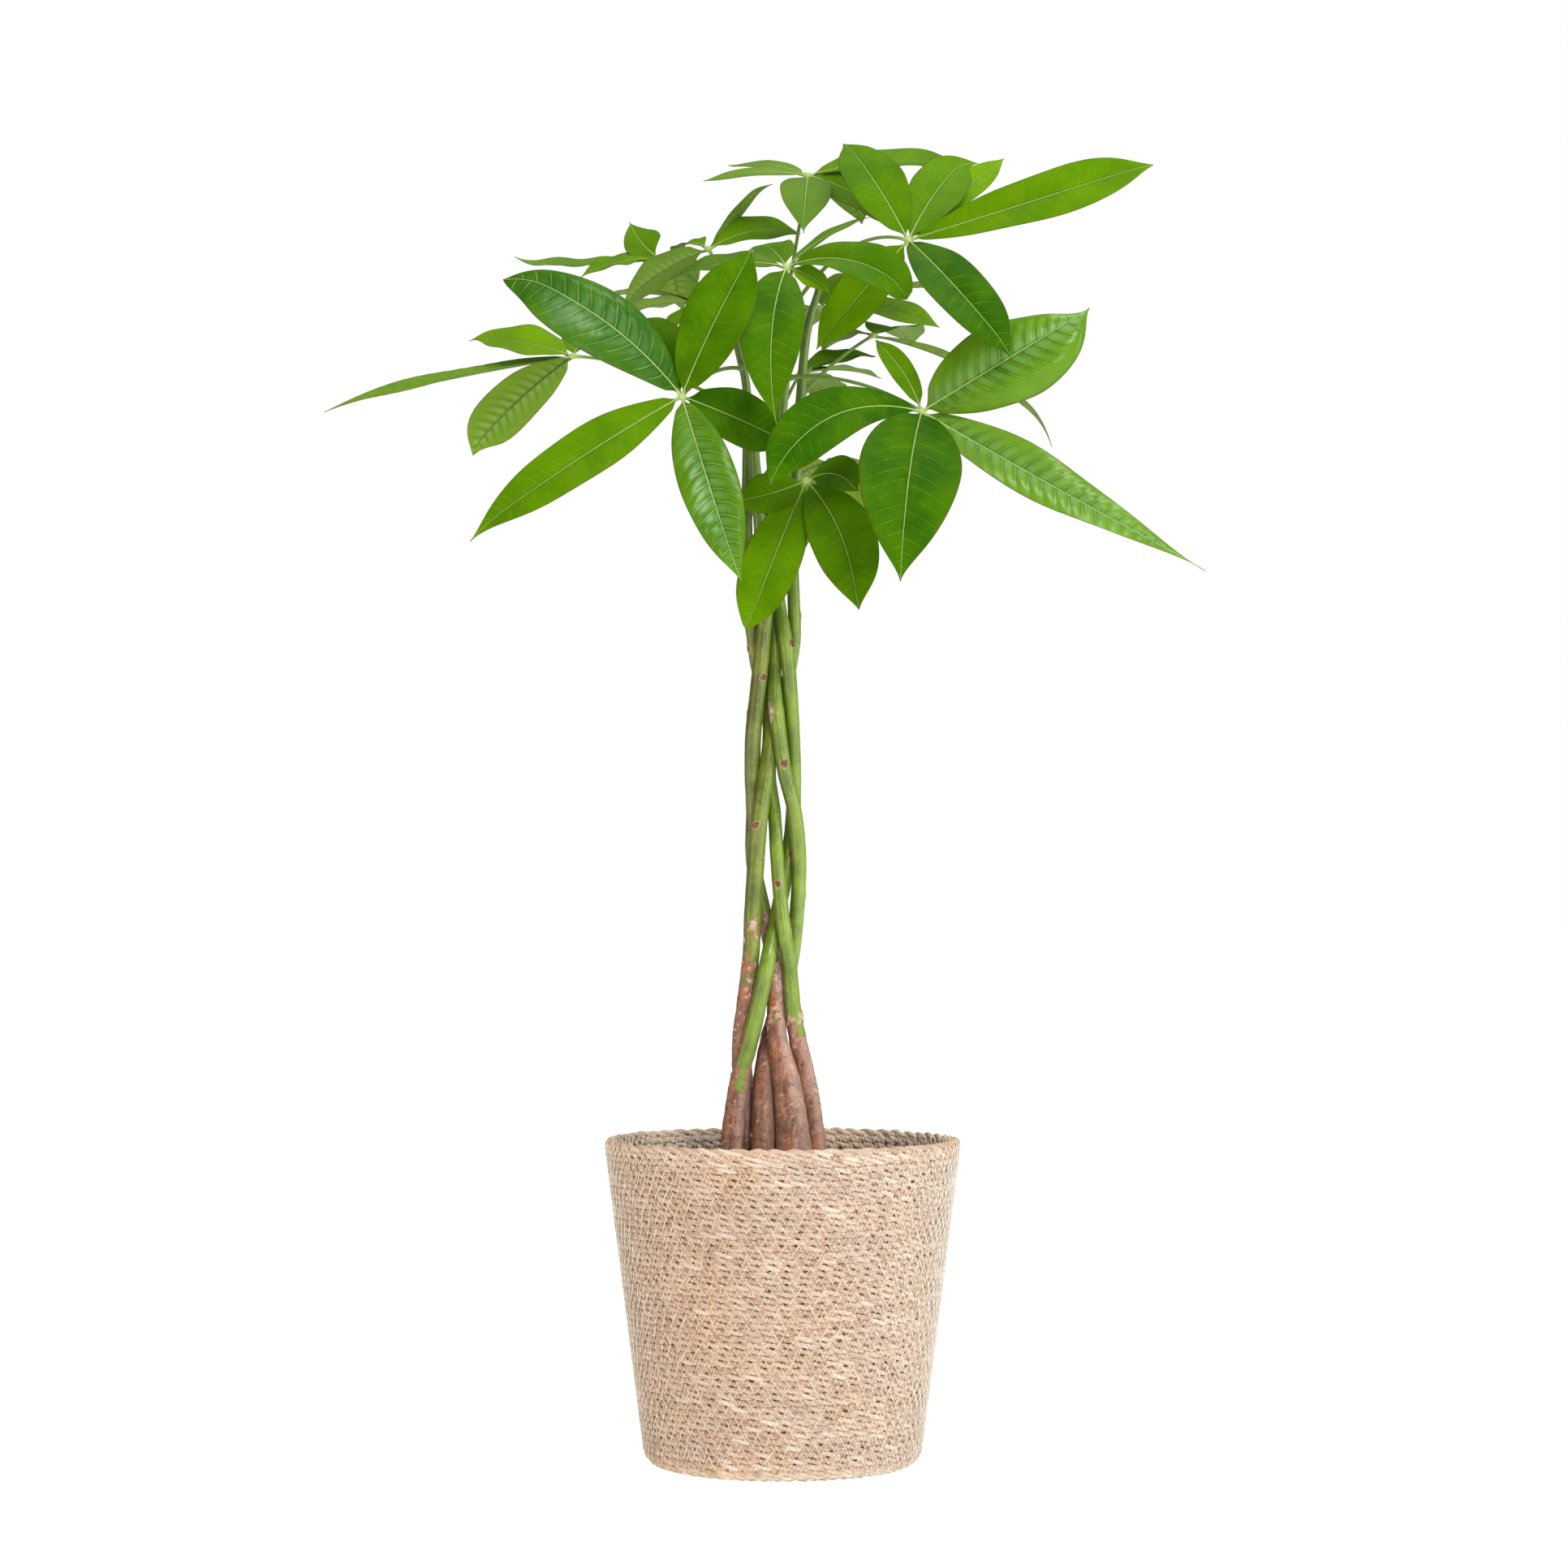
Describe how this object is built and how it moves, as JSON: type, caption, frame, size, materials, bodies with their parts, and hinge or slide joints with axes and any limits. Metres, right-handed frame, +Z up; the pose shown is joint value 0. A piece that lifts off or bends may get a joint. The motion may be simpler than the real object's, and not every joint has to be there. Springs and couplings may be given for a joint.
{
  "type": "potted money tree",
  "caption": "Potted money tree: plaited green and brown stems with hand-shaped compound leaves, rooted in soil in a nursery pot inside a tapered coiled seagrass basket.",
  "frame": {"origin": "centre of the basket's flat underside, on the surface that it stands on", "axes": "+Z up along the stems; the side seen from the front looks along -Y; +X is to the right seen from the front"},
  "size_m": [0.7126, 0.4758, 1.0867],
  "materials": {
    "seagrass": "matt twisted straw-coloured rope",
    "dark_plastic": "satin moulded plastic",
    "potting_soil": "crumbly moist peat and bark mix",
    "green_bark": "satin green bark, brown and cracked towards the foot",
    "leaf_green": "semi-gloss leaf with pale veins"
  },
  "bodies": {
    "root": {"basket": "seagrass", "nursery_pot": "dark_plastic", "soil": "potting_soil", "stem_1": "green_bark", "stem_2": "green_bark", "stem_3": "green_bark", "stem_4": "green_bark", "stem_5": "green_bark", "leaf_front_left": "leaf_green", "leaf_front_centre": "leaf_green", "leaf_upper_right": "leaf_green", "leaf_front_right": "leaf_green", "leaf_top": "leaf_green", "leaf_upper_left": "leaf_green", "leaf_far_left": "leaf_green", "leaf_back_left": "leaf_green", "leaf_mid_left": "leaf_green", "leaf_mid_right": "leaf_green", "leaf_inner_right": "leaf_green", "leaf_back_right": "leaf_green", "leaf_low_centre": "leaf_green", "leaf_back_low": "leaf_green", "leaf_back_centre": "leaf_green"}
  },
  "joints": []
}
